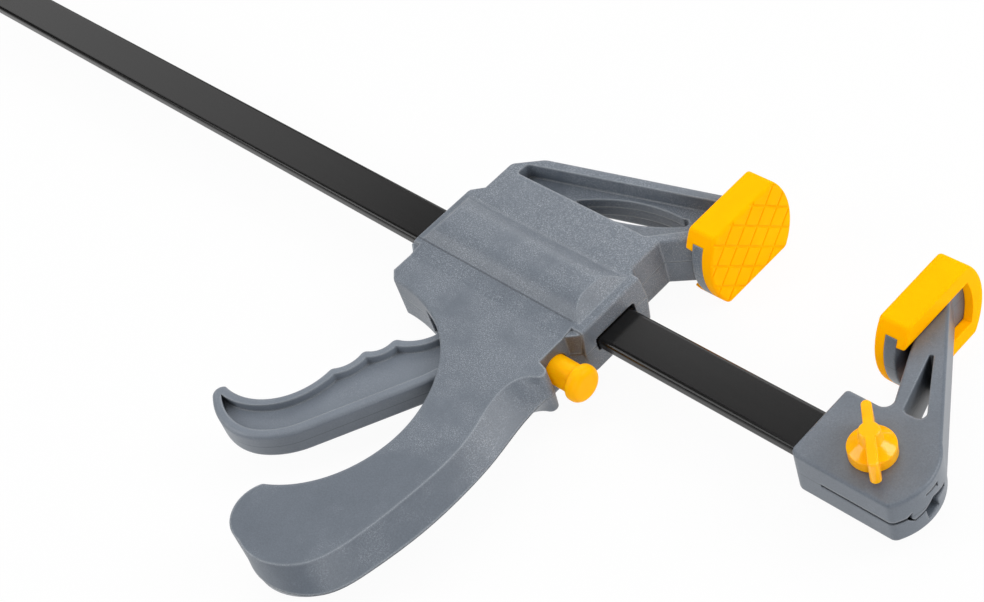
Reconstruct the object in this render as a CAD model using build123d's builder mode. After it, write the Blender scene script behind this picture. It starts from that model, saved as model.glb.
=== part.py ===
"""Quick release bar clamp: a fixed jaw locked on a steel bar, and a pistol-grip
housing that walks along the bar when its trigger is squeezed.

The origin is the centre of the fixed pad's gripping face.  +X runs along the bar
towards the fixed jaw, +Y from the grip towards the pads, +Z is up with the clamp
lying on its side.  Z = 0 is the mid-plane that every half shell shares.
Housing sketches use the moving pad's gripping face as their own x = 0.
"""
import os
from math import cos, radians, sin, sqrt, tan

from build123d import *

# ---- jaws and pads
opening = 76.0              # gap between the two pads in the modelled position
pad_reach = 64.0            # bar centre line to the centre of the pads
pad_flat = 35.8             # length of the pad's flat top and bottom
pad_bow = 6.4               # how far the pad's round ends stand beyond the flats
pad_height = 37.0
pad_corner_round = 2.6      # corners between the flats and the bowed ends
pad_face_wall = 4.6
pad_lip = 3.5               # lip behind the jaw plate
pad_end_rim = 5.0           # closed rim round the pad's far end
pad_flange = 4.8            # top and bottom flanges over the plate
pad_lip_reach = 2.65        # how far the lips reach over the plate
pad_lip_draft = 5.0
pad_edge_round = 1.5
moving_pad_drop = 1.5       # the moving pad sits this much nearer to the bar
groove_angle = 47.0
groove_pitch = 8.5
groove_width = 0.9
groove_depth = 0.45
groove_lines = 9
groove_shifts = (-1.4, -0.9)    # the two sets of lines pass this far from the centre
plate_thickness = 5.0       # plate of either jaw that the pad is pushed on to
plate_gap = 0.1

# ---- bar
bar_width = 20.0
bar_thickness = 5.8
bar_corner = 1.8
bar_length = 600.0
bar_end = 48.5              # front end of the bar, inside the fixed jaw
bar_gap = 0.3
stop_pin_diameter = 4.0
stop_pin_length = 13.0
stop_pin_margin = 8.0       # pin centre to the bar's tail
pin_fit = 0.02

# ---- fixed jaw
jaw_height = 20.6
jaw_front = 6.1             # front face of the jaw's block behind the pad's face
jaw_near = -15.8            # near side of the block
jaw_far = 17.8
jaw_edge_round = 1.2
jaw_corner_round = 3.6
jaw_near_end = 47.3         # the near side is straight as far as this
jaw_arm_base = 23.0         # front of the arm where it leaves the block
jaw_throat_run = 3.3        # the hollow between block and arm
jaw_throat_rise = 4.95
jaw_arm_top = 60.4          # the arm's front and back meet the plate at these heights
jaw_arm_end = 78.6
jaw_heel = [(47.4, 16.6), (54.1, -1.0), (49.9, -14.4)]
jaw_hole = [(19.7, 51.5, 0.9), (28.6, 19.7, 2.6), (38.4, 19.9, 2.6)]
jaw_slit = 1.2
jaw_slit_start = 18.9
jaw_slit_depth = 6.4
heel_opening = 8.0          # how deep the heel's openings are cored
heel_window = [(-2.5, 5.3), (-2.5, 6.2), (4.3, 5.9), (4.3, 3.6), (3.5, 3.7), (3.5, 5.0)]
heel_wedge = [(-11.2, 0.4), (-8.7, 2.3), (-9.2, -1.2), (-8.2, -2.3), (-6.8, -1.9),
              (-2.8, -0.9), (-2.8, -1.8), (-6.8, -2.8), (-8.2, -3.2), (-10.0, -1.4)]
heel_pocket = [(-3.6, -1.2), (0.8, 1.6), (9.4, -1.6), (9.0, -3.2), (3.2, -2.4),
               (3.6, -6.4), (-2.8, -7.2), (-3.3, -3.4)]
lock_x = 30.8               # axis of the lock pin
lock_diameter = 8.0
lock_gap = 0.1
lock_flat = 4.6             # across the pin's two flats
lock_flange_diameter = 13.0
lock_flange = 1.6
lock_washer = 0.5
lock_recess = 2.6
lock_spigot = 5.0
lock_spigot_length = 6.0

# ---- lock knob
knob_diameter = 17.6
knob_rim = 4.3
knob_rim_round = 0.7
knob_hub_diameter = 7.5
knob_hub_base = 9.0         # diameter where the hub meets the coned top
knob_hub_foot = 7.6         # height of that
knob_wing_length = 29.2
knob_wing_shift = 1.2       # the wing reaches further on its near side
knob_wing_width = 4.1
knob_wing_draft = 1.0
knob_wing_bottom = 3.0
knob_wing_top = 12.7
knob_wing_round = 0.7
knob_wing_angle = -48.0

# ---- housing, measured in the moving pad's frame
shell_wall = 3.0
rear_wall = 10.3            # solid rear end that the drive spring bears on
block_front = -17.7         # outer face of the front wall
block_rear = -115.0         # end of the rear collar
block_height = 24.0
block_inside = 15.0         # the grip and arm outlines run into the block this far
body_front = -23.6          # front wall of grip and arm
body_rear = -111.0
grip_height = 21.0
arm_height = 24.0
arm_web = 9.2
bulge_middle = 1.0
bulge_flat = 6.0
bulge_arc = 13.4
bulge_blend_far = 4.0       # hollow blends at the bulge's foot
bulge_blend_near = 1.0
block_shoulder = -13.2      # near end of the block's level top
body_shoulder = -21.5       # where the slope below it meets the grip's face
bulge_front = -22.0
bulge_rear = -111.7
bulge_slope = 43.0
block_near = -15.4          # sides of the block at its top, and how far they lean out below
block_far = 17.6
block_draft = 1.6
shell_edge_round = 1.0
arm_edge_round = 1.4
arm_recess = [(-103.4, 35.9, 1.6), (-103.0, 42.0, 2.4), (-23.4, 63.8, 0), (-9.8, 67.5, 0),
              (-9.8, 53.2, 0), (-30.6, 35.9, 4.0)]
arm_lens_far = [(-75.6, 41.2), (-52.0, 53.1), (-29.0, 55.7)]
arm_lens_near = [(-26.6, 52.3), (-43.2, 43.6), (-66.0, 38.6)]
arm_lens_tip = (2.4, 0.6)   # how far the lens's two ends are rounded out
arm_lens_root = (-2.6, -1.9)
arm_cavity = [(-107.0, 21.9), (-26.6, 21.9), (-26.6, 33.3), (-107.0, 33.3)]
arm_cavity_round = 1.0
arm_front_foot = 20.7       # the arm's front between the block and the slope to the plate
arm_front_head = 36.3
arm_plate_bottom = 47.9
arm_plate_top = 72.6
arm_back = [(-98.0, 48.4, 8.0), (-110.0, 39.2, 3.5), (-110.0, 23.0, 0)]
arm_back_foot = 18.6
arm_step_foot = 20.0        # where the step between the pad's lips starts
grip_front_foot = -19.8     # front and rear of the lower body, between block and grip
grip_beak_step = 1.0
grip_rear_foot = -16.8
grip_rear_step = -20.0
grip_rear_end = -31.3
grip_hollow_front = -48.0
grip_hollow_rear = -32.0
trigger_way = [(-86.0, -28.0, 0), (-86.0, -52.0, 0), (-60.0, -75.0, 0),
               (-43.5, -75.0, 0), (-43.5, -50.0, 0), (-49.0, -28.0, 0)]
mouth_width = 22.5          # opening round the bar in the block's front
mouth_height = 7.0
mouth_round = 1.5
mouth_shift = 0.75

# ---- drive: trigger, plates and spring
pivot = (-60.0, -28.0)
pivot_diameter = 6.0
pivot_gap = 0.05
hub_radius = 7.5
trigger_width = 12.4
trigger_web = 5.0
trigger_rim = 4.0
trigger_side_gap = 0.3
trigger_edge_round = 1.8
trigger_cusp_round = 3.0
finger_cusps = [(-99.0, -80.2), (-94.5, -66.2), (-87.9, -54.9), (-74.6, -45.0)]
finger_hollows = [(-94.3, -73.9), (-88.6, -62.0), (-80.0, -51.4)]
trigger_throat = [(-131.0, -111.4), (-114.8, -108.6), (-103.4, -98.1)]
trigger_straight = [(-58.9, -63.8), (-84.5, -108.2)]
trigger_neck = (-53.0, -50.0)
trigger_belly = [(-98.4, -122.0), (-114.0, -125.4), (-131.9, -118.2)]
nose_radius = 3.0
nose_height = 13.0          # pivot to the nose's centre
drive_gap = 0.2
drive_plate_thickness = 2.5
drive_plate_count = 2
drive_plate_height = 14.0
drive_plate_top = 14.6
drive_plate_bottom = -19.5
plate_slot_gap = 0.3
plate_corner = 1.5
plate_stack_gap = 0.02
washer_thickness = 1.0
drive_spring_wire = 1.8
drive_spring_gap = 1.3      # round the bar's edges
drive_spring_headroom = 1.1 # to the inside of the bulge
drive_spring_turns = 7

# ---- brake: tilting plate, spring and release button
brake_angle = 4.5
brake_x = -33.0             # front face of the plate at its fulcrum
brake_y = 13.0              # fulcrum above the bar's centre line
brake_thickness = 3.0
brake_height = 14.0
brake_top = 14.6
brake_bottom = -33.0
brake_slot = 20.8
fulcrum_diameter = 3.0
contact_gap = 0.1
button_y = -28.0
button_diameter = 12.0
button_cap_diameter = 15.6
button_cap = 5.6
button_cap_front = -6.8
button_cap_round = 3.2
button_flange = 1.7
button_flange_reach = 1.6
button_gap = 0.3
brake_spring_radius = 4.6
brake_spring_wire = 1.0
brake_spring_turns = 6
brake_seat_x = -47.3
brake_seat_wall = 2.0

# ---- screws that hold the half shells together
arm_screws = [(-99.0, 27.5), (-34.0, 27.5)]
grip_screws = [(-99.0, -27.0), (-35.0, -53.0), (-33.5, -100.0), (-57.0, -146.0)]
screw_points = arm_screws + grip_screws
screw_diameter = 3.0
screw_head_diameter = 5.6
screw_head = 2.0
screw_length = 14.0
screw_post_diameter = 8.0
screw_seat = 6.0            # depth of the head's seat below the mid-plane
screw_hole_gap = 0.3

pad_half = pad_height / 2
plate_half = pad_half - pad_flange - plate_gap
plate_front = pad_face_wall + plate_gap
plate_back = plate_front + plate_thickness
pad_depth = plate_back + plate_gap + pad_lip
drive_spring_radius = bar_width / 2 + drive_spring_gap + drive_spring_wire / 2
bulge_inside = drive_spring_radius + drive_spring_wire / 2 + drive_spring_headroom
bulge_height = 2 * (bulge_inside + shell_wall)
lip_window = plate_half - pad_lip_reach - pad_lip * tan(radians(pad_lip_draft))


def fixed_plane(z=0.0):
    """Level plane of the fixed jaw: x from the fixed pad's face, y from the bar's centre."""
    return Plane(origin=(0, -pad_reach, z))


def moving_plane(z=0.0):
    """Level plane of the housing: x from the moving pad's face, y from the bar's centre."""
    return Plane(origin=(-opening, -pad_reach, z))


def cross_plane(x, y=-pad_reach):
    """Upright plane across the bar at x, its sketch x along Y and its sketch y along Z."""
    return Plane(origin=(x, y, 0), x_dir=(0, 1, 0), z_dir=(1, 0, 0))


def side_plane(x):
    """Upright plane along the bar's centre line, its sketch x along X and y along Z."""
    return Plane(origin=(x, -pad_reach, 0), x_dir=(1, 0, 0), z_dir=(0, -1, 0))


def rounded_outline(*corners):
    """A closed straight-sided outline, each of its (x, y, radius) corners rounded."""
    with BuildSketch(mode=Mode.PRIVATE) as form:
        with BuildLine():
            Polyline(*[(x, y) for x, y, r in corners], close=True)
        make_face()
        for x, y, r in corners:
            if r > 0:
                fillet(form.vertices().sort_by_distance((x, y, 0))[0], r)
    return form.sketch


def beside(curve, distance, start=0.0, end=1.0, count=12):
    """Points that run along a curve at a distance to its left, from start to end."""
    points = []
    for k in range(count + 1):
        t = start + (end - start) * k / count
        place, heading = curve @ t, curve % t
        points.append((place.X - heading.Y * distance, place.Y + heading.X * distance))
    return points


# ======================================================================= pads
with BuildSketch() as barrel:
    with BuildLine():
        barrel_top = Line((-pad_flat / 2, pad_half), (pad_flat / 2, pad_half))
        ThreePointArc(barrel_top @ 1, (pad_flat / 2 + pad_bow, 0), (pad_flat / 2, -pad_half))
        Line((pad_flat / 2, -pad_half), (-pad_flat / 2, -pad_half))
        ThreePointArc((-pad_flat / 2, -pad_half), (-pad_flat / 2 - pad_bow, 0), barrel_top @ 0)
    make_face()
    fillet(barrel.vertices(), pad_corner_round)

with BuildSketch() as plate_outline:
    add(barrel.sketch)
    with Locations((-pad_end_rim, 0)):
        add(barrel.sketch, mode=Mode.INTERSECT)
    Rectangle(2 * pad_flat, 2 * plate_half, mode=Mode.INTERSECT)

with BuildPart() as fixed_pad:
    with BuildSketch(cross_plane(0, 0)):
        add(barrel.sketch)
    extrude(amount=pad_depth)
    fillet(fixed_pad.edges().group_by(Axis.X)[0], pad_edge_round)
    fillet(fixed_pad.edges().group_by(Axis.X)[-1], pad_edge_round / 2)
    # pocket for the jaw plate, open at the near end
    with BuildSketch(cross_plane(pad_face_wall, 0)):
        Rectangle(2 * pad_flat, 2 * (plate_half + plate_gap))
        with Locations((-pad_end_rim + plate_gap, 0)):
            add(barrel.sketch, mode=Mode.INTERSECT)
    extrude(amount=plate_thickness + 2 * plate_gap, mode=Mode.SUBTRACT)
    # drafted window between the lips
    with BuildSketch(cross_plane(pad_depth, 0)):
        Rectangle(2 * pad_flat, 2 * (plate_half - pad_lip_reach))
        with Locations((-pad_end_rim - pad_lip_reach / 2, 0)):
            add(barrel.sketch, mode=Mode.INTERSECT)
    extrude(amount=-pad_lip, taper=pad_lip_draft, mode=Mode.SUBTRACT)
    # crossed grooves in the gripping face
    for angle, shift in zip((groove_angle, -groove_angle), groove_shifts):
        groove_x = (0, cos(radians(angle)), sin(radians(angle)))
        with BuildSketch(Plane(origin=(0, 0, 0), x_dir=groove_x, z_dir=(1, 0, 0))):
            with Locations((shift, 0)):
                with GridLocations(groove_pitch, 1, groove_lines, 1):
                    Rectangle(groove_width, 2 * pad_flat)
        extrude(amount=groove_depth, mode=Mode.SUBTRACT)
fixed_pad.part.label = "fixed_pad"

with BuildPart() as moving_pad:
    with Locations((0, -moving_pad_drop, 0)):
        add(fixed_pad.part)
    mirror(about=Plane.YZ.offset(-opening / 2), mode=Mode.REPLACE)
moving_pad.part.label = "moving_pad"

# ======================================================================== bar
bar_tail = bar_end - bar_length
stop_pin_x = bar_tail + stop_pin_margin

with BuildPart() as bar:
    with BuildSketch(cross_plane(bar_tail)):
        RectangleRounded(bar_width, bar_thickness, bar_corner)
    extrude(amount=bar_length)
    # keyhole for the lock pin: a round hole with a mouth as wide as the pin's flats
    with BuildSketch(fixed_plane(-bar_thickness / 2)):
        with Locations((lock_x, 0)):
            Circle(lock_diameter / 2 + bar_gap)
            with Locations(((bar_end - lock_x) / 2, 0)):
                Rectangle(bar_end - lock_x, lock_flat + 2 * lock_gap)
    extrude(amount=bar_thickness, mode=Mode.SUBTRACT)
    with Locations((stop_pin_x, -pad_reach, 0)):
        Cylinder(stop_pin_diameter / 2 + pin_fit, bar_thickness, mode=Mode.SUBTRACT)
bar.part.label = "bar"

with BuildPart() as bar_stop_pin:
    with Locations((stop_pin_x, -pad_reach, 0)):
        Cylinder(stop_pin_diameter / 2, stop_pin_length)
    chamfer(bar_stop_pin.edges().filter_by(GeomType.CIRCLE), stop_pin_diameter / 8)
bar_stop_pin.part.label = "bar_stop_pin"

# ================================================================== fixed jaw
jaw_half = jaw_height / 2
lock_bore = lock_diameter / 2 + lock_gap

with BuildPart() as fixed_jaw:
    with BuildSketch(fixed_plane(-jaw_half)):
        with BuildLine():
            near = Line((jaw_near_end, jaw_near), (jaw_front + jaw_corner_round, jaw_near))
            near_corner = TangentArc(near @ 1, (jaw_front, jaw_near + jaw_corner_round),
                                     tangent=near % 1)
            front = Line(near_corner @ 1, (jaw_front, jaw_far - jaw_corner_round / 2))
            far_corner = TangentArc(front @ 1, (jaw_front + jaw_corner_round / 2, jaw_far),
                                    tangent=front % 1)
            far = Line(far_corner @ 1, (jaw_arm_base - jaw_throat_run, jaw_far))
            throat = TangentArc(far @ 1, (jaw_arm_base, jaw_far + jaw_throat_rise),
                                tangent=far % 1)
            plate_middle = plate_back - plate_thickness / 2
            arm_front = Line(throat @ 1, (plate_middle, jaw_arm_top))
            arm_end = Line(arm_front @ 1, (plate_middle, jaw_arm_end))
            Line(arm_end @ 1, jaw_heel[0])
            ThreePointArc(*jaw_heel)
            TangentArc(near @ 0, jaw_heel[-1], tangent=(1, 0))
        make_face()
    extrude(amount=jaw_height)
    fillet(fixed_jaw.edges().group_by(Axis.Z)[0], jaw_edge_round)
    fillet(fixed_jaw.edges().group_by(Axis.Z)[-1], jaw_edge_round)
    with BuildSketch(cross_plane(plate_front, 0)):
        add(plate_outline.sketch)
    extrude(amount=plate_thickness)
    # lightening hole in the arm
    with BuildSketch(fixed_plane(-jaw_half)):
        add(rounded_outline(*jaw_hole))
    extrude(amount=jaw_height, mode=Mode.SUBTRACT)
    # seat of the bar
    with BuildSketch(cross_plane(jaw_front)):
        Rectangle(bar_width + 2 * bar_gap, bar_thickness + 2 * bar_gap)
    extrude(amount=bar_end + bar_gap - jaw_front, mode=Mode.SUBTRACT)
    # slit along the near side and round the heel
    with BuildSketch(fixed_plane(-jaw_slit / 2)):
        with Locations((jaw_slit_start, jaw_near)):
            Rectangle(2 * bar_end, 2 * jaw_slit_depth, align=(Align.MIN, Align.CENTER))
    extrude(amount=jaw_slit, mode=Mode.SUBTRACT)
    # lock pin bore with the seat for its flange
    with Locations((lock_x, -pad_reach, 0)):
        Cylinder(lock_bore, jaw_height, mode=Mode.SUBTRACT)
    with Locations((lock_x, -pad_reach, -jaw_half + lock_recess / 2)):
        Cylinder(lock_flange_diameter / 2 + lock_gap, lock_recess, mode=Mode.SUBTRACT)
    # core openings in the heel: a window, the gap round a catch and a hooked pocket
    with BuildSketch(cross_plane(bar_end)):
        for opening_outline in (heel_window, heel_wedge, heel_pocket):
            Polygon(*opening_outline, align=None)
    extrude(amount=heel_opening, mode=Mode.SUBTRACT)
fixed_jaw.part.label = "fixed_jaw"

# ============================================================ lock pin and knob
flange_bottom = -jaw_half + lock_recess - lock_washer - lock_flange

with BuildPart() as lock_washer_ring:
    with BuildSketch(fixed_plane(flange_bottom + lock_flange)):
        with Locations((lock_x, 0)):
            Circle(lock_flange_diameter / 2 - lock_gap)
            Circle(lock_bore, mode=Mode.SUBTRACT)
    extrude(amount=lock_washer)
lock_washer_ring.part.label = "lock_washer"

with BuildPart() as lock_pin:
    with BuildSketch(fixed_plane(flange_bottom)):
        with Locations((lock_x, 0)):
            Circle(lock_flange_diameter / 2)
    extrude(amount=lock_flange)
    with BuildSketch(fixed_plane(flange_bottom)):
        with Locations((lock_x, 0)):
            Circle(lock_diameter / 2)
    extrude(amount=jaw_half - flange_bottom)
    # two flats where the pin passes the bar
    with BuildSketch(fixed_plane(-bar_thickness / 2 - bar_gap)):
        with Locations((lock_x, 0)):
            Circle(lock_diameter)
            Rectangle(lock_flat, 3 * lock_diameter, mode=Mode.SUBTRACT)
    extrude(amount=bar_thickness + 2 * bar_gap, mode=Mode.SUBTRACT)
    with BuildSketch(fixed_plane(jaw_half)):
        with Locations((lock_x, 0)):
            Rectangle(lock_spigot, lock_spigot)
    extrude(amount=lock_spigot_length)
lock_pin.part.label = "lock_pin"

with BuildPart() as lock_knob:
    # disc with a coned top and a hub, turned about the pin's axis
    with BuildSketch(Plane(origin=(lock_x, -pad_reach, jaw_half + lock_gap),
                           x_dir=(1, 0, 0), z_dir=(0, -1, 0))):
        with BuildLine():
            Polyline((0, 0), (knob_diameter / 2, 0), (knob_diameter / 2, knob_rim),
                     (knob_hub_base / 2, knob_hub_foot), (knob_hub_diameter / 2, knob_wing_top),
                     (0, knob_wing_top), close=True)
        make_face()
    revolve(axis=Axis((lock_x, -pad_reach, 0), (0, 0, 1)))
    knob_rims = lock_knob.edges().filter_by(GeomType.CIRCLE).group_by(SortBy.RADIUS)[-1]
    fillet(knob_rims.sort_by(Axis.Z)[-1], knob_rim_round)
    # wing across the hub
    with BuildSketch(Plane(origin=(lock_x, -pad_reach, jaw_half + lock_gap + knob_wing_bottom))):
        with Locations(Rotation(0, 0, knob_wing_angle)):
            with Locations((knob_wing_shift, 0)):
                SlotOverall(knob_wing_length, knob_wing_width)
    extrude(amount=knob_wing_top - knob_wing_bottom, taper=knob_wing_draft)
    fillet(lock_knob.edges().group_by(Axis.Z)[-1], knob_wing_round)
    with BuildSketch(Plane(origin=(lock_x, -pad_reach, jaw_half + lock_gap))):
        Rectangle(lock_spigot + 2 * pin_fit, lock_spigot + 2 * pin_fit)
    extrude(amount=lock_spigot_length - lock_gap + pin_fit, mode=Mode.SUBTRACT)
lock_knob.part.label = "lock_knob"

# ==================================================================== housing
# Grip outline on the top face and on the mid-plane, where its back stands out.
grip_throat = [(-106.9, -35.2), (-86.1, -37.7), (-70.0, -45.0), (-54.5, -61.6),
               (-46.3, -88.0), (-50.5, -110.3), (-73.8, -135.6)]
grip_toe = [(-73.8, -135.6), (-76.6, -147.0), (-62.0, -159.0)]
crease_back = [(-62.0, -159.0), (-44.0, -158.9), (-31.1, -149.1), (-25.4, -135.0),
               (-21.7, -112.4), (-20.1, -92.7), (-21.8, -73.0), (-26.4, -53.0),
               (-24.8, -45.0), (-19.2, -40.3)]
parting_back = [(-62.0, -159.0), (-42.0, -162.3), (-22.8, -151.8), (-16.3, -135.0),
                (-12.3, -112.0), (-11.5, -92.0), (-12.8, -73.0), (-15.8, -54.0),
                (-16.3, -46.0), (-16.3, -41.5)]
crease_beak = [(-19.2, -40.3), (-17.5, -37.8), (-19.6, -35.1)]
parting_beak = [(-16.3, -41.5), (-15.3, -39.2), (-17.0, -36.0)]
throat_curve = Spline(*grip_throat)
toe_curve = ThreePointArc(*grip_toe)
back_curve = Spline(*crease_back)


def grip_outline(back, beak):
    """The outline of the grip and the lower body, with the given back and beak."""
    with BuildSketch(mode=Mode.PRIVATE) as form:
        with BuildLine():
            Spline(*grip_throat)
            ThreePointArc(*grip_toe)
            Spline(*back)
            ThreePointArc(*beak)
            Polyline(beak[-1], (body_front, beak[-1][1] + grip_beak_step),
                     (body_front, grip_front_foot),
                     (block_front, -block_inside), (block_rear, -block_inside),
                     (block_rear, grip_rear_foot), (body_rear, grip_rear_step),
                     (body_rear, grip_rear_end), grip_throat[0])
        make_face()
    return form.sketch


def arm_outline():
    """The arm's outline, from the block to the jaw plate."""
    plate_x = -plate_back + plate_thickness / 2
    return rounded_outline(
        (block_front, block_inside, 0), (body_front, arm_front_foot, 0),
        (body_front, arm_front_head, 0), (plate_x, arm_plate_bottom, 0),
        (plate_x, arm_plate_top, 0), *arm_back, (block_rear, arm_back_foot, 0),
        (block_rear, block_inside, 0))


def bulge_cavity():
    """Half section of the room for the drive spring, a wall inside the bulge."""
    arc = bulge_arc - shell_wall
    top = bulge_height / 2 - shell_wall
    flat = bulge_flat / 2
    with BuildSketch(mode=Mode.PRIVATE) as form:
        with BuildLine():
            crest = Line((bulge_middle + flat, top), (bulge_middle - flat, top))
            near = TangentArc(crest @ 1, (bulge_middle - flat - arc, top - arc), tangent=(-1, 0))
            far = TangentArc(crest @ 0, (bulge_middle + flat + arc, top - arc), tangent=(1, 0))
            Polyline(near @ 1, (bulge_middle - flat - arc, 0), (bulge_middle + flat + arc, 0),
                     far @ 1)
        make_face()
    return form.sketch


def bulge_flank(side, blend):
    """Where one flank of the bulge starts, turns into its hollow blend and meets the block."""
    edge = bulge_middle + side * bulge_flat / 2
    rise = (block_height - bulge_height) / 2 + bulge_arc + blend
    run = sqrt((bulge_arc + blend) ** 2 - rise ** 2)
    share = bulge_arc / (bulge_arc + blend)
    turn = (edge + side * run * share, bulge_height / 2 - bulge_arc + rise * share)
    return (edge, bulge_height / 2), turn, (edge + side * run, block_height / 2)


bulge_rise = (bulge_height - block_height) / 2
bulge_run = bulge_rise / tan(radians(bulge_slope))
far_start, far_turn, far_foot = bulge_flank(1, bulge_blend_far)
near_start, near_turn, near_foot = bulge_flank(-1, bulge_blend_near)

with BuildPart() as bulge:
    with BuildSketch(cross_plane(-opening + bulge_rear)):
        with BuildLine():
            Line(near_start, far_start)
            far_flank = TangentArc(far_start, far_turn, tangent=(1, 0))
            TangentArc(far_turn, far_foot, tangent=far_flank % 1)
            near_flank = TangentArc(near_start, near_turn, tangent=(-1, 0))
            TangentArc(near_turn, near_foot, tangent=near_flank % 1)
            Polyline(near_foot, (near_foot[0], 0), (far_foot[0], 0), far_foot)
        make_face()
    extrude(amount=bulge_front - bulge_rear)
    with BuildSketch(side_plane(-opening)):
        with BuildLine():
            Polyline((bulge_front, 0), (bulge_front, block_height / 2),
                     (bulge_front - bulge_run, bulge_height / 2),
                     (bulge_rear + bulge_run, bulge_height / 2),
                     (bulge_rear, block_height / 2), (bulge_rear, 0), close=True)
        make_face()
    extrude(amount=bulge_height, both=True, mode=Mode.INTERSECT)

with BuildPart() as grip:
    with BuildSketch(moving_plane()):
        add(grip_outline(parting_back, parting_beak))
    with BuildSketch(moving_plane(grip_height / 2)):
        add(grip_outline(crease_back, crease_beak))
    loft(ruled=True)
    crease = grip.edges().group_by(Axis.Z)[-1]
    fillet(crease.filter_by(GeomType.BSPLINE).sort_by(Axis.X)[0], shell_edge_round)

with BuildPart() as arm:
    with BuildSketch(moving_plane()):
        add(arm_outline())
    extrude(amount=arm_height / 2)
    fillet(arm.edges().group_by(Axis.Z)[-1], arm_edge_round)

with BuildPart() as block:
    shoulder_fall = (block_height - grip_height) / 2
    shoulder_share = (block_shoulder - block_near) / (block_shoulder - body_shoulder)
    with BuildSketch(cross_plane(-opening + block_rear)):
        Polygon((block_near - block_draft, 0),
                (block_near, block_height / 2 - shoulder_fall * shoulder_share),
                (block_shoulder, block_height / 2), (block_far, block_height / 2),
                (block_far + block_draft, 0), align=None)
    extrude(amount=block_front - block_rear)
    for end in (0, -1):
        rims = block.edges().group_by(Axis.X)[end]
        fillet(rims.filter_by(lambda rim: rim.center().Z > block_height / 3), shell_edge_round)
    # slope from the block's level top down to the grip's face
    with BuildSketch(cross_plane(-opening + body_rear)):
        Polygon((body_shoulder, 0), (body_shoulder, grip_height / 2),
                (block_shoulder, block_height / 2), (block_shoulder, 0), align=None)
    extrude(amount=body_front - body_rear)

# Inside faces and places that the mechanism shares with the shells
grip_ceiling = grip_height / 2 - shell_wall
block_ceiling = block_height / 2 - shell_wall
arm_ceiling = arm_height / 2 - shell_wall
cavity_front = block_front - shell_wall
cavity_rear = block_rear + rear_wall
cavity_far = 14.9
trigger_slot = trigger_width / 2 + trigger_side_gap
pivot_pin_half = grip_ceiling + shell_wall / 2
fulcrum_x = brake_x + fulcrum_diameter / 2 + contact_gap
fulcrum_half = block_ceiling + shell_wall / 2
button_radius = button_diameter / 2
button_stop = body_front - shell_wall - button_gap
cap_back = button_cap_front - button_cap
brake_reach = brake_y - button_y
button_travel = brake_reach * tan(radians(brake_angle))

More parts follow.
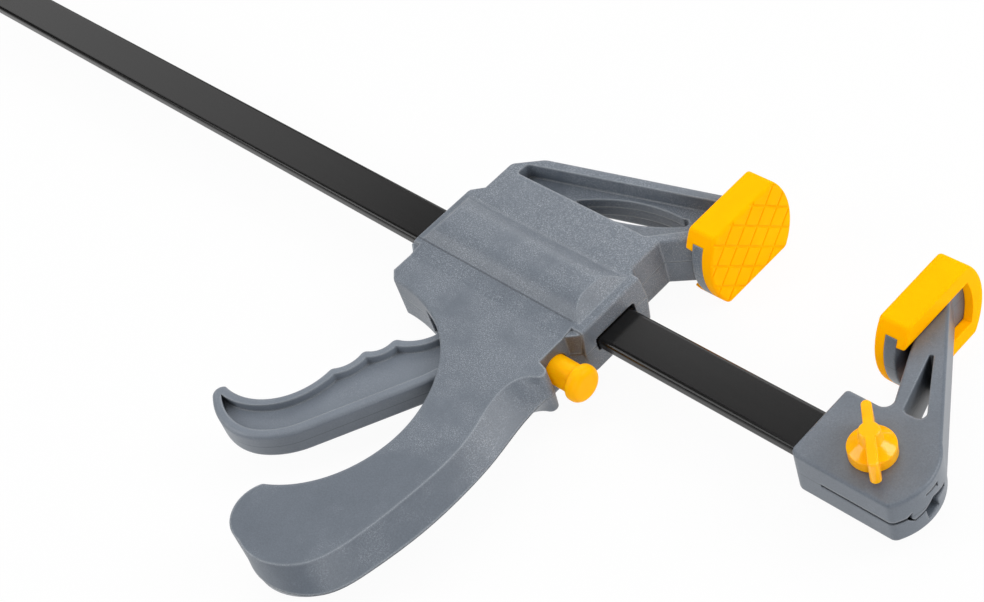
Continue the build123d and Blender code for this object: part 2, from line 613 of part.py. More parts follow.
# One half of the housing, from the mid-plane up
with BuildPart() as shell_form:
    add(grip.part)
    add(block.part)
    add(arm.part)
    add(bulge.part)
    # jaw plate
    with BuildSketch(cross_plane(-opening - plate_back, -moving_pad_drop)):
        add(plate_outline.sketch)
        with Locations((0, pad_height / 2)):
            Rectangle(3 * pad_flat, pad_height, mode=Mode.INTERSECT)
    extrude(amount=plate_thickness)
    # the arm is stepped down to pass between the pad's lips
    with BuildSketch(moving_plane(lip_window - 2 * plate_gap)):
        add(rounded_outline((-pad_depth - bar_gap, arm_step_foot, 0),
                            (-plate_back, arm_step_foot, 0),
                            (-plate_back, 2 * pad_reach, 0),
                            (-pad_depth - bar_gap, 2 * pad_reach, 0)))
    extrude(amount=arm_height, mode=Mode.SUBTRACT)
    # recess of the arm, down to its web, and the lens-shaped hole in the web
    with BuildSketch(moving_plane(arm_web / 2)):
        add(rounded_outline(*arm_recess))
    extrude(amount=arm_height, mode=Mode.SUBTRACT)
    with BuildSketch(moving_plane()):
        with BuildLine():
            ThreePointArc(*arm_lens_far)
            ThreePointArc(*arm_lens_near)
            lens_tip = ((arm_lens_far[-1][0] + arm_lens_near[0][0]) / 2 + arm_lens_tip[0],
                        (arm_lens_far[-1][1] + arm_lens_near[0][1]) / 2 + arm_lens_tip[1])
            ThreePointArc(arm_lens_far[-1], lens_tip, arm_lens_near[0])
            lens_root = ((arm_lens_far[0][0] + arm_lens_near[-1][0]) / 2 + arm_lens_root[0],
                         (arm_lens_far[0][1] + arm_lens_near[-1][1]) / 2 + arm_lens_root[1])
            ThreePointArc(arm_lens_near[-1], lens_root, arm_lens_far[0])
        make_face()
    extrude(amount=arm_web / 2, mode=Mode.SUBTRACT)
    # room for the mechanism round the bar, and for the drive spring under the bulge
    with BuildSketch(moving_plane()):
        add(rounded_outline((cavity_rear, -block_inside, 0), (cavity_front, -block_inside, 0),
                            (cavity_front, cavity_far, 0), (cavity_rear, cavity_far, 0)))
    extrude(amount=block_ceiling, mode=Mode.SUBTRACT)
    with BuildSketch(cross_plane(-opening + cavity_rear)):
        add(bulge_cavity())
    extrude(amount=bulge_front - bulge_run - shell_wall - cavity_rear, mode=Mode.SUBTRACT)
    # hollow lower body and grip, a wall's thickness inside the crease
    with BuildSketch(moving_plane()):
        with BuildLine():
            throat_side = Spline(*beside(throat_curve, shell_wall, 0.03, 0.93))
            back_side = Spline(*beside(back_curve, shell_wall, 0.05, 0.9))
            toe_middle = beside(toe_curve, shell_wall, 0.5, 0.5, 1)[0]
            ThreePointArc(throat_side @ 1, toe_middle, back_side @ 0)
            Polyline(back_side @ 1, (body_front - shell_wall, grip_hollow_front),
                     (body_front - shell_wall, bar_gap - block_inside),
                     (body_rear + shell_wall, bar_gap - block_inside),
                     (body_rear + shell_wall, grip_hollow_rear), throat_side @ 0)
        make_face()
    extrude(amount=grip_ceiling, mode=Mode.SUBTRACT)
    # hollow beside the arm's recess
    with BuildSketch(moving_plane()):
        add(rounded_outline(*[(x, y, arm_cavity_round) for x, y in arm_cavity]))
    extrude(amount=arm_ceiling, mode=Mode.SUBTRACT)
    # way out for the trigger
    with BuildSketch(moving_plane()):
        add(rounded_outline(*trigger_way))
    extrude(amount=trigger_slot, mode=Mode.SUBTRACT)
    # the bar's passage
    with BuildSketch(cross_plane(-opening + block_rear)):
        Rectangle(bar_width + 2 * bar_gap, bar_thickness + 2 * bar_gap)
    extrude(amount=block_front - block_rear, mode=Mode.SUBTRACT)
    with BuildSketch(cross_plane(-opening + cavity_front)):
        with Locations((mouth_shift, 0)):
            RectangleRounded(mouth_width, mouth_height, mouth_round)
    extrude(amount=block_front - cavity_front, mode=Mode.SUBTRACT)
    # bosses for the pivot pin, posts for the screws, seat for the brake spring
    with BuildSketch(moving_plane(trigger_slot)):
        with Locations(pivot):
            Circle(hub_radius)
    extrude(amount=grip_ceiling - trigger_slot)
    with BuildSketch(moving_plane()):
        with Locations(*grip_screws):
            Circle(screw_post_diameter / 2)
        with Locations((brake_seat_x - brake_seat_wall / 2, button_y)):
            Rectangle(brake_seat_wall, 2 * brake_spring_radius + 3 * brake_spring_wire)
    extrude(amount=grip_ceiling + shell_wall / 2)
    with BuildSketch(moving_plane()):
        with Locations(*arm_screws):
            Circle(screw_post_diameter / 2)
    extrude(amount=arm_ceiling + shell_wall / 2)
    with BuildSketch(moving_plane()):
        with Locations(pivot):
            Circle(pivot_diameter / 2 + pin_fit)
    extrude(amount=pivot_pin_half + pin_fit, mode=Mode.SUBTRACT)
    with BuildSketch(moving_plane()):
        with Locations((fulcrum_x, brake_y)):
            Circle(fulcrum_diameter / 2 + pin_fit)
    extrude(amount=fulcrum_half + pin_fit, mode=Mode.SUBTRACT)
    # hole for the release button, and room in front of it for the pressed cap
    with BuildSketch(cross_plane(-opening + body_front - shell_wall)):
        with Locations((button_y, 0)):
            Circle(button_radius + button_gap)
    extrude(amount=button_diameter, mode=Mode.SUBTRACT)
    with BuildSketch(cross_plane(-opening + cap_back - button_travel - button_gap)):
        with Locations((button_y, 0)):
            Circle(button_cap_diameter / 2 + button_gap)
    extrude(amount=button_diameter, mode=Mode.SUBTRACT)

with BuildPart() as housing_upper_shell:
    add(shell_form.part)
    with BuildSketch(moving_plane()):
        with Locations(*screw_points):
            Circle(screw_diameter / 2 + pin_fit)
    extrude(amount=screw_length - screw_seat + screw_hole_gap, mode=Mode.SUBTRACT)
housing_upper_shell.part.label = "housing_upper_shell"

with BuildPart() as housing_lower_shell:
    add(shell_form.part)
    mirror(about=Plane.XY, mode=Mode.REPLACE)
    with BuildSketch(moving_plane()):
        with Locations(*screw_points):
            Circle(screw_diameter / 2 + screw_hole_gap)
    extrude(amount=-screw_seat, mode=Mode.SUBTRACT)
    with BuildSketch(moving_plane(-screw_seat)):
        with Locations(*screw_points):
            Circle(screw_head_diameter / 2 + screw_hole_gap)
    extrude(amount=-arm_height, mode=Mode.SUBTRACT)
housing_lower_shell.part.label = "housing_lower_shell"

with BuildPart() as housing_screws:
    with BuildSketch(moving_plane(-screw_seat)):
        with Locations(*screw_points):
            Circle(screw_diameter / 2)
    extrude(amount=screw_length)
    with BuildSketch(moving_plane(-screw_seat)):
        with Locations(*screw_points):
            Circle(screw_head_diameter / 2)
    extrude(amount=-screw_head)
    with BuildSketch(moving_plane(-screw_seat - screw_head)):
        with Locations(*screw_points):
            Rectangle(screw_head_diameter / 2, screw_diameter / 4)
            Rectangle(screw_diameter / 4, screw_head_diameter / 2)
    extrude(amount=screw_head / 2, mode=Mode.SUBTRACT)
housing_screws.part.label = "housing_screws"

# ==================================================================== trigger
trigger_half = trigger_width / 2
pivot_x, pivot_y = pivot

with BuildSketch() as trigger_outline:
    with BuildLine():
        palm = ThreePointArc(*trigger_throat)
        TangentArc(palm @ 1, finger_cusps[0], tangent=palm % 1)
        for before, hollow, after in zip(finger_cusps, finger_hollows, finger_cusps[1:]):
            ThreePointArc(before, hollow, after)
        Polyline(finger_cusps[-1], (pivot_x - hub_radius, pivot_y),
                 (pivot_x + hub_radius, pivot_y), trigger_neck, trigger_straight[0])
        straight = Line(*trigger_straight)
        belly_rise = TangentArc(straight @ 1, trigger_belly[0], tangent=straight % 1)
        belly_low = TangentArc(belly_rise @ 1, trigger_belly[1], tangent=belly_rise % 1)
        belly_tip = TangentArc(belly_low @ 1, trigger_belly[2], tangent=belly_low % 1)
        TangentArc(belly_tip @ 1, trigger_throat[0], tangent=belly_tip % 1)
    make_face()

with BuildSketch() as trigger_recess:
    offset(trigger_outline.sketch, amount=-trigger_rim, kind=Kind.INTERSECTION)
    with Locations(pivot):
        Circle(hub_radius + trigger_rim, mode=Mode.SUBTRACT)

with BuildPart() as trigger:
    with BuildSketch(moving_plane(-trigger_half)) as lever_form:
        add(trigger_outline.sketch)
        for cusp in finger_cusps[:-1]:
            fillet(lever_form.vertices().sort_by_distance((*cusp, 0))[0], trigger_cusp_round)
    extrude(amount=trigger_width)
    for end in (0, -1):
        rims = trigger.edges().group_by(Axis.Z)[end]
        fillet(rims.filter_by(lambda rim: rim.center().Y < -pad_reach + finger_cusps[-1][1]),
               trigger_edge_round)
    # hub round the pivot pin, and the nose that pushes the drive plates
    with BuildSketch(moving_plane(-trigger_half)):
        with Locations(pivot):
            Circle(hub_radius)
        with Locations((pivot_x, pivot_y + nose_height / 2)):
            Rectangle(2 * nose_radius, nose_height)
        with Locations((pivot_x, pivot_y + nose_height)):
            Circle(nose_radius)
    extrude(amount=trigger_width)
    # recess on both faces down to the web, inside an even rim
    for z in (trigger_web / 2, -trigger_half):
        with BuildSketch(moving_plane(z)):
            add(trigger_recess.sketch)
        extrude(amount=trigger_half - trigger_web / 2, mode=Mode.SUBTRACT)
    with Locations((-opening + pivot_x, -pad_reach + pivot_y, 0)):
        Cylinder(pivot_diameter / 2 + pivot_gap, trigger_width, mode=Mode.SUBTRACT)
trigger.part.label = "trigger"

with BuildPart() as trigger_pin:
    with Locations((-opening + pivot_x, -pad_reach + pivot_y, 0)):
        Cylinder(pivot_diameter / 2, 2 * pivot_pin_half)
trigger_pin.part.label = "trigger_pin"

# ======================================================= drive plates and spring
drive_front = pivot_x - nose_radius - drive_gap
drive_back = drive_front - drive_plate_count * drive_plate_thickness
drive_middle = (drive_plate_top + drive_plate_bottom) / 2

with BuildPart() as drive_plates:
    for k in range(drive_plate_count):
        with BuildSketch(cross_plane(-opening + drive_front - k * drive_plate_thickness)):
            with Locations((drive_middle, 0)):
                RectangleRounded(drive_plate_top - drive_plate_bottom, drive_plate_height, plate_corner)
            Rectangle(bar_width + 2 * plate_slot_gap, bar_thickness + 2 * plate_slot_gap,
                      mode=Mode.SUBTRACT)
        extrude(amount=-drive_plate_thickness + plate_stack_gap)
drive_plates.part.label = "drive_plates"

with BuildPart() as drive_washer:
    with BuildSketch(cross_plane(-opening + drive_back)):
        Circle(drive_spring_radius + drive_spring_wire / 2 + plate_slot_gap / 2)
        Circle(drive_spring_radius - drive_spring_wire, mode=Mode.SUBTRACT)
    extrude(amount=-washer_thickness)
drive_washer.part.label = "drive_washer"

drive_spring_space = drive_back - washer_thickness - cavity_rear - drive_spring_wire
with BuildPart() as drive_spring:
    with BuildLine() as drive_coil:
        Helix(pitch=drive_spring_space / drive_spring_turns, height=drive_spring_space,
              radius=drive_spring_radius, direction=(1, 0, 0),
              center=(-opening + cavity_rear + drive_spring_wire / 2, -pad_reach, 0))
    with BuildSketch(Plane(origin=drive_coil.line @ 0, z_dir=drive_coil.line % 0)):
        Circle(drive_spring_wire / 2)
    sweep(is_frenet=True)
drive_spring.part.label = "drive_spring"

# ================================================= brake plate, spring and button
# The plate leans about its fulcrum; this plane leans with it.
lean = Plane(origin=(-opening + brake_x, -pad_reach + brake_y, 0),
             x_dir=(-sin(radians(brake_angle)), cos(radians(brake_angle)), 0),
             z_dir=(cos(radians(brake_angle)), sin(radians(brake_angle)), 0))
brake_middle = (brake_top + brake_bottom) / 2 - brake_y

with BuildPart() as brake_plate:
    with BuildSketch(lean):
        with Locations((brake_middle, 0)):
            RectangleRounded(brake_top - brake_bottom, brake_height, plate_corner)
        with Locations((-brake_y, 0)):
            Rectangle(brake_slot, bar_thickness + 2 * plate_slot_gap, mode=Mode.SUBTRACT)
    extrude(amount=-brake_thickness)
brake_plate.part.label = "brake_plate"

with BuildPart() as brake_fulcrum:
    with Locations((-opening + fulcrum_x, -pad_reach + brake_y, 0)):
        Cylinder(fulcrum_diameter / 2, 2 * fulcrum_half)
brake_fulcrum.part.label = "brake_fulcrum"

brake_face = brake_x + button_travel
brake_back = brake_face - brake_thickness
brake_spring_space = brake_back - brake_seat_x - brake_spring_wire - 4 * contact_gap

with BuildPart() as brake_spring:
    with BuildLine() as brake_coil:
        Helix(pitch=brake_spring_space / brake_spring_turns, height=brake_spring_space,
              radius=brake_spring_radius, direction=(1, 0, 0),
              center=(-opening + brake_seat_x + brake_spring_wire / 2,
                      -pad_reach + button_y, 0))
    with BuildSketch(Plane(origin=brake_coil.line @ 0, z_dir=brake_coil.line % 0)):
        Circle(brake_spring_wire / 2)
    sweep(is_frenet=True)
brake_spring.part.label = "brake_spring"

nub_radius = button_radius / 3
nub_end = brake_x + (brake_reach + nub_radius) * tan(radians(brake_angle)) + contact_gap
flange_back = button_stop - button_flange

with BuildPart() as release_button:
    with BuildSketch(moving_plane()):
        with BuildLine():
            Polyline((nub_end, button_y), (nub_end, button_y + nub_radius),
                     (flange_back, button_y + nub_radius),
                     (flange_back, button_y + button_radius + button_flange_reach),
                     (button_stop, button_y + button_radius + button_flange_reach),
                     (button_stop, button_y + button_radius),
                     (cap_back, button_y + button_radius),
                     (cap_back, button_y + button_cap_diameter / 2),
                     (button_cap_front, button_y + button_cap_diameter / 2),
                     (button_cap_front, button_y), close=True)
        make_face()
    revolve(axis=Axis((-opening, -pad_reach + button_y, 0), (1, 0, 0)))
    cap_edges = release_button.edges().filter_by(GeomType.CIRCLE).group_by(SortBy.RADIUS)[-1]
    fillet(cap_edges.sort_by(Axis.X)[-1], button_cap_round)
    fillet(cap_edges.sort_by(Axis.X)[0], button_cap_round / 2)
    # the flange is cut flat to pass between the shells
    with BuildSketch(cross_plane(-opening + nub_end)):
        with Locations((button_y, 0)):
            Circle(button_diameter)
            Rectangle(2 * button_diameter, 2 * (grip_ceiling - button_gap), mode=Mode.SUBTRACT)
    extrude(amount=button_stop - nub_end, mode=Mode.SUBTRACT)
release_button.part.label = "release_button"

os.makedirs("parts", exist_ok=True)
for piece in (bar, bar_stop_pin, fixed_jaw, fixed_pad, lock_pin, lock_washer_ring, lock_knob,
              housing_upper_shell, housing_lower_shell, housing_screws, moving_pad,
              trigger, trigger_pin, drive_plates, drive_washer, drive_spring,
              brake_plate, brake_fulcrum, brake_spring, release_button):
    export_step(piece.part, f"parts/{piece.part.label}.step")
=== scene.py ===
"""Quick release bar clamp: finishes, springs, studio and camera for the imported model.

Metres, in the model's own frame: the origin is the centre of the fixed pad's
gripping face, +X runs along the bar, +Y towards the pads, +Z up.
"""
import bpy
import numpy as np
from mathutils import Matrix, Vector


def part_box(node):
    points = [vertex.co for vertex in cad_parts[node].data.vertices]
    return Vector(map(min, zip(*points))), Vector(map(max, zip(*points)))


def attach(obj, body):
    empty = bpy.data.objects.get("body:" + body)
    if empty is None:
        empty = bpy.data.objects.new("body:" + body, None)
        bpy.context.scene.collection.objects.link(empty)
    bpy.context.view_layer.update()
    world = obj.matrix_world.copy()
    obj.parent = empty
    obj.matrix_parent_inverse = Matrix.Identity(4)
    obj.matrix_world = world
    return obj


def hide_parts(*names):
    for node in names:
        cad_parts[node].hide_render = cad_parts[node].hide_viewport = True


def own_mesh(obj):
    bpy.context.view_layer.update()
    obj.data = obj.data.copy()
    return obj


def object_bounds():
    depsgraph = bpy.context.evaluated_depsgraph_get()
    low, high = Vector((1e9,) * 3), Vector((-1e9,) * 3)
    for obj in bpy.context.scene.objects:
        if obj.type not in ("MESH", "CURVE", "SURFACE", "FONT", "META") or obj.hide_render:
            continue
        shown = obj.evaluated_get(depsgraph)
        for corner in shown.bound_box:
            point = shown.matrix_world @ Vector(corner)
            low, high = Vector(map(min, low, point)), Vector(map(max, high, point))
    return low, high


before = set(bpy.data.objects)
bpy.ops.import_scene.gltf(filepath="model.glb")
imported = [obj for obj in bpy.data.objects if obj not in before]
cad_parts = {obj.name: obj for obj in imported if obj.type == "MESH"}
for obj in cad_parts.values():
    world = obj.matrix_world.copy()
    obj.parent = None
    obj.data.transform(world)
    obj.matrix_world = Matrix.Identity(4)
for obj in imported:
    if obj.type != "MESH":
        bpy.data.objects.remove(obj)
cad_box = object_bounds()
scene = bpy.context.scene
MM = 0.001

# places on the housing that its finish refers to, in millimetres
BODY_TOP = (-130.0, -60.0, 12.0)      # middle of the top face, where the clamp is laid down
BULGE_FOOT_Y = -77.1                  # near foot of the bulge over the drive spring
BULGE_FRONT_X = (-102.0, -99.0)       # where that foot's line fades out
TOP_FACE_Z = (11.0, 11.5)             # just below the top face
BUTTON_WALLS = (-98.0, -87.0, 3.0)    # middle of the walls round the release button
CREVICE_MM = 5.0                      # how far off a wall counts as near

# painted orange glow: emission that keeps a bright yellow body orange on its shaded sides too,
# though it is no lamp
PAINTED_ORANGE_GLOW = (1.0, 0.27, 0.0, 1.0)

FLOOR_HALF_WIDTH = 4.0
FLOOR_WHITE = 0.95                    # share of plain white that the floor shows to the eye


# ------------------------------------------------------------------ node helpers
def linear(hex_colour):
    """An sRGB hex colour as linear RGBA."""
    parts = [int(hex_colour[i:i + 2], 16) / 255 for i in (1, 3, 5)]
    return [c / 12.92 if c <= 0.04045 else ((c + 0.055) / 1.055) ** 2.4 for c in parts] + [1.0]


def add(material, kind, links=(), **settings):
    """Adds one node; settings are its properties or unlinked inputs, links its linked inputs."""
    node = material.node_tree.nodes.new(kind)
    for name, value in settings.items():
        if hasattr(node, name):
            setattr(node, name, value)
        else:
            node.inputs[name.replace("_", " ")].default_value = value
    for socket, source in links:
        material.node_tree.links.new(source, node.inputs[socket])
    return node


def new_material(name):
    """An empty node material and its object coordinates in millimetres."""
    material = bpy.data.materials.new(name)
    material.use_nodes = True
    material.node_tree.nodes.clear()
    place = add(material, "ShaderNodeTexCoord")
    scaled = add(material, "ShaderNodeVectorMath", [(0, place.outputs["Object"])],
                 operation="SCALE")
    scaled.inputs["Scale"].default_value = 1000.0
    return material, scaled.outputs[0]


def noise(material, mm, scale, detail, roughness=0.5):
    """Cloudy noise; scale is in features per millimetre."""
    return add(material, "ShaderNodeTexNoise", [("Vector", mm)], Scale=scale, Detail=detail,
               Roughness=roughness).outputs["Fac"]


def ramp(material, source, low, high, start=0.3, end=0.7):
    """Colours from low to high as the source goes from start to end."""
    node = add(material, "ShaderNodeValToRGB", [("Fac", source)])
    for stop, place, colour in zip(node.color_ramp.elements, (start, end), (low, high)):
        stop.position, stop.color = place, linear(colour)
    return node.outputs["Color"]


def fade(material, source, start, end, first=0.0, last=1.0):
    """From first to last as the source goes from start to end."""
    return add(material, "ShaderNodeMapRange", [(0, source)], From_Min=start, From_Max=end,
               To_Min=first, To_Max=last).outputs[0]


def reckon(material, operation, *values):
    """One sum of sockets and numbers."""
    node = add(material, "ShaderNodeMath", operation=operation)
    for socket, value in zip(node.inputs, values):
        if isinstance(value, (int, float)):
            socket.default_value = value
        else:
            material.node_tree.links.new(value, socket)
    return node.outputs[0]


def distance(material, mm, place):
    """Distance from a place, in millimetres."""
    node = add(material, "ShaderNodeVectorMath", [(0, mm)], operation="DISTANCE")
    node.inputs[1].default_value = place
    return node.outputs["Value"]


def cover(material, share, under, hex_colour):
    """A share of one flat colour over another."""
    node = add(material, "ShaderNodeMix", [(0, share), (6, under)], data_type="RGBA")
    node.inputs[7].default_value = linear(hex_colour)
    return node.outputs[2]


def soft_edges(material, radius_mm, grain, strength, depth_mm):
    """Normals of edges that the mould left round, under a fine grain of the given height."""
    edge = add(material, "ShaderNodeBevel", Radius=radius_mm * MM)
    edge.samples = 8
    bump = add(material, "ShaderNodeBump",
               [("Height", grain), ("Normal", edge.outputs["Normal"])],
               Strength=strength, Distance=depth_mm * MM)
    return edge.outputs["Normal"], bump.outputs["Normal"]


def surface(material, colour, normal=None, **settings):
    """Ends a material in one principled shader."""
    links = [("Base Color", colour)] + ([("Normal", normal)] if normal else [])
    skin = add(material, "ShaderNodeBsdfPrincipled", links, **settings)
    add(material, "ShaderNodeOutputMaterial", [("Surface", skin.outputs["BSDF"])])
    return material


# ------------------------------------------------------------------ materials
def moulded_nylon(name, edge_mm, roughness, frost, edge_scuffs_and_highlight, dark, pale):
    """Glass-filled nylon from a spark-eroded mould: matt, grained, rubbed pale in patches, with
    painted highlights on its edges and painted shade in its crevices, along the bulge foot and
    round the button.
    """
    m, mm = new_material(name)
    cloud = noise(m, mm, 0.05, 5.0, 0.6)
    grain = noise(m, mm, 1.6, 3.0, 0.75)
    speckle = ramp(m, grain, "#535B66", "#838B96", 0.35, 0.7)
    tone = add(m, "ShaderNodeMix", [(6, ramp(m, cloud, dark, pale)), (7, speckle)],
               data_type="RGBA", Factor=0.25).outputs[2]
    # pale dots where the glass shows, thickest round the body that the clamp is laid down on
    handled = fade(m, distance(m, mm, BODY_TOP), 35.0, 130.0, 0.19, 0.0)
    worn = reckon(m, "ADD", noise(m, mm, 0.045, 4.0, 0.6), handled)
    dots = fade(m, noise(m, mm, 2.2, 2.0, 0.8), 0.5, 0.66)
    glass = reckon(m, "MULTIPLY", fade(m, worn, 0.5, 0.7, 0.0, frost), dots)
    # pale scuffs broken into specks, with a painted highlight, where the rounded edge turns away
    # from the face beside it
    edge, normal = soft_edges(m, edge_mm, grain, 0.25, 0.08)
    face = add(m, "ShaderNodeNewGeometry")
    turn = add(m, "ShaderNodeVectorMath", [(0, edge), (1, face.outputs["Normal"])],
               operation="DOT_PRODUCT")
    edge_rub_and_highlight = fade(m, turn.outputs["Value"], 0.998, 0.95, 0.0, edge_scuffs_and_highlight)
    edge_scuff_and_highlight = reckon(m, "MULTIPLY", edge_rub_and_highlight, fade(m, dots, 0.0, 1.0, 0.4, 1.0))
    tone = cover(m, reckon(m, "MAXIMUM", edge_scuff_and_highlight, glass), tone, "#BCC2C9")
    # fine dark line where the two halves of the mould meet on the mid-plane
    place = add(m, "ShaderNodeSeparateXYZ", [("Vector", mm)])
    off_middle = reckon(m, "ABSOLUTE", place.outputs["Z"])
    tone = cover(m, fade(m, off_middle, 0.1, 0.3, 0.4, 0.0), tone, "#2E3338")
    # painted shade: a dark line along the sharp foot of the bulge
    off_foot = reckon(m, "ABSOLUTE", reckon(m, "SUBTRACT", place.outputs["Y"], BULGE_FOOT_Y))
    above = fade(m, place.outputs["Z"], *TOP_FACE_Z)
    behind = fade(m, place.outputs["X"], *BULGE_FRONT_X, 1.0, 0.0)
    painted_foot_shade = reckon(m, "MULTIPLY", fade(m, off_foot, 0.1, 0.55, 0.45, 0.0),
                    reckon(m, "MULTIPLY", behind, above))
    # painted shade on the upright walls round the release button
    pocket_shade_reach = fade(m, distance(m, mm, BUTTON_WALLS), 9.0, 14.0, 0.5, 0.0)
    lean = add(m, "ShaderNodeSeparateXYZ",
               [("Vector", add(m, "ShaderNodeTexCoord").outputs["Normal"])])
    level = reckon(m, "ABSOLUTE", lean.outputs["Z"])
    painted_pocket_shade = reckon(m, "MULTIPLY", pocket_shade_reach, fade(m, level, 0.4, 0.8, 1.0, 0.0))
    # painted shade in slits, feet of steps and joints, where little open air is near
    near = add(m, "ShaderNodeAmbientOcclusion", Distance=CREVICE_MM * MM)
    near.samples = 8
    painted_crevice_shade = fade(m, near.outputs["AO"], 0.3, 0.62, 0.85, 0.0)
    painted_shade = reckon(m, "MAXIMUM", painted_crevice_shade, reckon(m, "MAXIMUM", painted_foot_shade, painted_pocket_shade))
    # all the painted shade is laid on as one dark colour
    tone = cover(m, painted_shade, tone, "#12171E")
    return surface(m, tone, normal, Roughness=roughness, IOR=1.53)


def yellow_plastic(material, tone, normal, glow, **settings):
    """Saturated yellow that light enters a little, with a painted orange glow that keeps it
    orange where it is shaded.
    """
    return surface(material, tone, normal, Subsurface_Weight=0.3, Subsurface_Scale=0.001,
                   Emission_Color=PAINTED_ORANGE_GLOW, Emission_Strength=glow, **settings)


def yellow_elastomer():
    """Moulded thermoplastic elastomer: saturated, satin, and kept orange in its shade by a
    painted glow.
    """
    m, mm = new_material("moulded_tpe_yellow")
    tone = ramp(m, noise(m, mm, 0.08, 3.0), "#FFB600", "#FFBC00")
    _, normal = soft_edges(m, 0.7, noise(m, mm, 1.4, 2.0), 0.2, 0.05)
    # the 0.28 is the strength of the painted orange glow
    return yellow_plastic(m, tone, normal, 0.28, Roughness=0.5, IOR=1.45,
                          Specular_IOR_Level=0.02)


def yellow_abs(name, roughness, shine):
    """Moulded ABS: saturated yellow, polished on the knob and satin on the button."""
    m, mm = new_material(name)
    cloud = noise(m, mm, 0.15, 2.0)
    tone = ramp(m, cloud, "#FFB800", "#FFC000")
    faint = add(m, "ShaderNodeBump", [("Height", cloud)], Strength=0.05, Distance=0.02 * MM)
    # the 0.2 is the strength of the painted orange glow
    return yellow_plastic(m, tone, faint.outputs[0], 0.2, Roughness=roughness, IOR=1.5,
                          Specular_IOR_Level=shine)


def blackened_steel():
    """Cold-drawn flat bar under a black coat: near black, satin, with faint lines along it."""
    m, mm = new_material("black_coated_drawn_steel")
    along = add(m, "ShaderNodeMapping", [("Vector", mm)])
    along.inputs["Scale"].default_value = (0.02, 1.0, 1.0)
    streak = noise(m, along.outputs["Vector"], 1.5, 4.0)
    _, normal = soft_edges(m, 0.5, streak, 0.05, 0.02)
    return surface(m, ramp(m, streak, "#0B0A0A", "#121111"), normal, Roughness=0.22, IOR=1.5,
                   Specular_IOR_Level=0.35)


def bright_steel(name, dark, pale):
    """Bare or plated steel: bright grey metal with a fine cloudy spangle."""
    m, mm = new_material(name)
    tone = ramp(m, noise(m, mm, 0.6, 3.0), dark, pale)
    return surface(m, tone, Metallic=1.0, Roughness=0.35)


# one nylon in three tones as painted light and shade: the trigger is painted lighter and the
# fixed jaw darker
shell = moulded_nylon("moulded_glass_filled_nylon_shell", edge_mm=1.5, roughness=0.42,
                      frost=0.6, edge_scuffs_and_highlight=0.8, dark="#656D77", pale="#6F7781")
jaw = moulded_nylon("moulded_glass_filled_nylon_jaw", edge_mm=1.5, roughness=0.36,
                    frost=0.15, edge_scuffs_and_highlight=0.3, dark="#616973", pale="#6B737D")
lever = moulded_nylon("moulded_glass_filled_nylon_lever", edge_mm=1.5, roughness=0.4,
                      frost=0.2, edge_scuffs_and_highlight=0.4, dark="#787F89", pale="#828A94")
pad = yellow_elastomer()
shiny = yellow_abs("moulded_abs_yellow", roughness=0.16, shine=0.4)
satin = yellow_abs("moulded_abs_yellow_satin", roughness=0.42, shine=0.1)
black = blackened_steel()
zinc = bright_steel("zinc_plated_steel", "#A9ABAE", "#C8CACC")
wire_steel = bright_steel("drawn_spring_wire", "#8C8E91", "#A4A6A9")
finish_of = {
    "housing_upper_shell": shell, "housing_lower_shell": shell, "fixed_jaw": jaw,
    "trigger": lever, "fixed_pad": pad, "moving_pad": pad, "lock_knob": shiny,
    "release_button": satin, "bar": black, "lock_washer": wire_steel,
}
for name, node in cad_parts.items():
    node.data.materials.clear()
    node.data.materials.append(finish_of.get(name, zinc))


# ------------------------------------------------------------------ springs
def new_object(name, points, faces, material):
    """An object of one material, at the origin, in the scene."""
    mesh = bpy.data.meshes.new(name)
    mesh.from_pydata(points, [], faces)
    mesh.materials.append(material)
    made = bpy.data.objects.new(name, mesh)
    scene.collection.objects.link(made)
    return made


def coil_spring(node, wire_mm, turns):
    """A wire coil along X in place of a node, carried by the housing.

    The wire's centre line turns evenly on a circle while it runs along X through the node's
    box, half a wire inside it.  Round each of its points lies a circle, one wire across, in
    the plane of the radius and of the line's tangent crossed with the radius.
    """
    low, high = (np.array(corner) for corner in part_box(node))
    half = wire_mm * MM / 2
    radius = (high[2] - low[2]) / 2 - half
    run = high[0] - low[0] - 2 * half
    along, around = 40 * turns, 14
    u = np.linspace(0.0, 1.0, along + 1)[:, None]
    turn = 2 * np.pi * turns * u
    nought = 0 * turn
    out = np.hstack([nought, np.cos(turn), np.sin(turn)])
    side = np.hstack([nought, -np.sin(turn), np.cos(turn)])
    tangent = np.hstack([nought + run, nought, nought]) + 2 * np.pi * turns * radius * side
    tangent /= np.linalg.norm(tangent, axis=1)[:, None]
    across = np.cross(tangent, out)
    start = np.array([low[0] + half, (low[1] + high[1]) / 2, (low[2] + high[2]) / 2])
    line = start + np.hstack([run * u, nought, nought]) + radius * out
    v = np.linspace(0.0, 2 * np.pi, around, endpoint=False)[None, :, None]
    skin = line[:, None] + half * (np.cos(v) * out[:, None] + np.sin(v) * across[:, None])
    index = np.arange(skin.shape[0] * around).reshape(-1, around)
    beside = np.roll(index, -1, axis=1)
    walls = np.stack([index[:-1], beside[:-1], beside[1:], index[1:]], axis=-1).reshape(-1, 4)
    ends = [index[0][::-1].tolist(), index[-1].tolist()]
    spring = new_object(node + "_coil", skin.reshape(-1, 3).tolist(), walls.tolist() + ends,
                        wire_steel)
    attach(spring, "housing")
    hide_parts(node)
    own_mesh(spring)


coil_spring("drive_spring", wire_mm=1.8, turns=7)
coil_spring("brake_spring", wire_mm=1.0, turns=6)


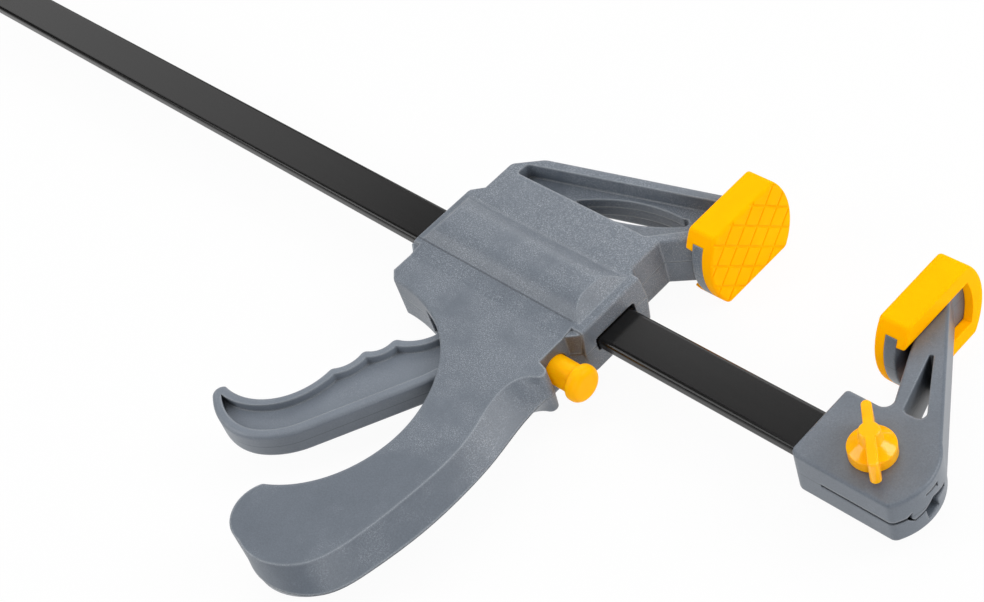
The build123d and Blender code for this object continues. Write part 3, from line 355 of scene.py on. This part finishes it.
# ------------------------------------------------------------------ studio
def white_for_the_eye(material, shader, share):
    """Shows a share of plain white where the camera, a gloss or a clear surface looks."""
    path = add(material, "ShaderNodeLightPath").outputs
    seen = reckon(material, "MAXIMUM", path["Is Camera Ray"], path["Is Glossy Ray"])
    seen = reckon(material, "MAXIMUM", seen, path["Is Transmission Ray"])
    part = reckon(material, "MULTIPLY", seen, share)
    glow = add(material, "ShaderNodeEmission", Color=(1, 1, 1, 1), Strength=1.0)
    return add(material, "ShaderNodeMixShader",
               [(0, part), (1, shader), (2, glow.outputs[0])]).outputs[0]


paper, _ = new_material("white_paper_sweep")
matt = add(paper, "ShaderNodeBsdfDiffuse", Color=linear("#F4F4F4"))
mixed = white_for_the_eye(paper, matt.outputs[0], FLOOR_WHITE)
add(paper, "ShaderNodeOutputMaterial", [("Surface", mixed)])
floor_z = cad_box[0][2]
corners = [(x * FLOOR_HALF_WIDTH, y * FLOOR_HALF_WIDTH, floor_z)
           for x, y in ((-1, -1), (1, -1), (1, 1), (-1, 1))]
new_object("floor", corners, [(0, 1, 2, 3)], paper)

world = bpy.data.worlds.new("studio")
scene.world = world
world.use_nodes = True
world.node_tree.nodes.clear()
path = add(world, "ShaderNodeLightPath")
soft = add(world, "ShaderNodeBackground", Color=(1, 1, 1, 1), Strength=0.1)
white = add(world, "ShaderNodeBackground", Color=(1, 1, 1, 1), Strength=1.0)
mix = add(world, "ShaderNodeMixShader", [(0, path.outputs["Is Camera Ray"]),
                                         (1, soft.outputs[0]), (2, white.outputs[0])])
add(world, "ShaderNodeOutputWorld", [("Surface", mix.outputs[0])])


def softbox(name, place, target, size, watts):
    """A square area lamp at place that faces target."""
    lamp = bpy.data.lights.new(name, "AREA")
    lamp.size, lamp.energy = size, watts
    box = bpy.data.objects.new(name, lamp)
    scene.collection.objects.link(box)
    box.location = place
    box.rotation_euler = (Vector(place) - Vector(target)).to_track_quat("Z", "Y").to_euler()


clamp_middle = (-0.12, -0.06, 0)
bar_middle = (-0.45, -0.06, 0)
softbox("over", (-0.12, -0.06, 1.2), clamp_middle, size=1.0, watts=4.7)
softbox("right", (0.7, 0.65, 0.7), clamp_middle, size=0.7, watts=7.8)
softbox("front", (0.9, -0.8, 0.45), clamp_middle, size=0.7, watts=4.5)
softbox("back", (-0.75, 1.05, 0.85), clamp_middle, size=1.0, watts=7.0)
softbox("left", (-0.8, -0.8, 0.6), clamp_middle, size=0.7, watts=5.0)
softbox("tail", (-1.8, 0.35, 0.8), bar_middle, size=1.0, watts=3.7)

# ------------------------------------------------------------------ camera
camera_data = bpy.data.cameras.new("camera")
camera_data.sensor_width = 36.0
camera_data.lens = 67.73
camera = bpy.data.objects.new("camera", camera_data)
scene.collection.objects.link(camera)
# the picture's right, down and view directions, and where the camera stands
right = (0.68660, 0.68047, -0.25601)
down = (0.38779, -0.64062, -0.66274)
ahead = (-0.61498, 0.35576, -0.70373)
stand = (0.3114, -0.3456, 0.5249)
camera.matrix_world = Matrix(
    [(right[i], -down[i], -ahead[i], stand[i]) for i in range(3)] + [(0, 0, 0, 1)])
scene.camera = camera
scene.view_settings.view_transform = "Standard"
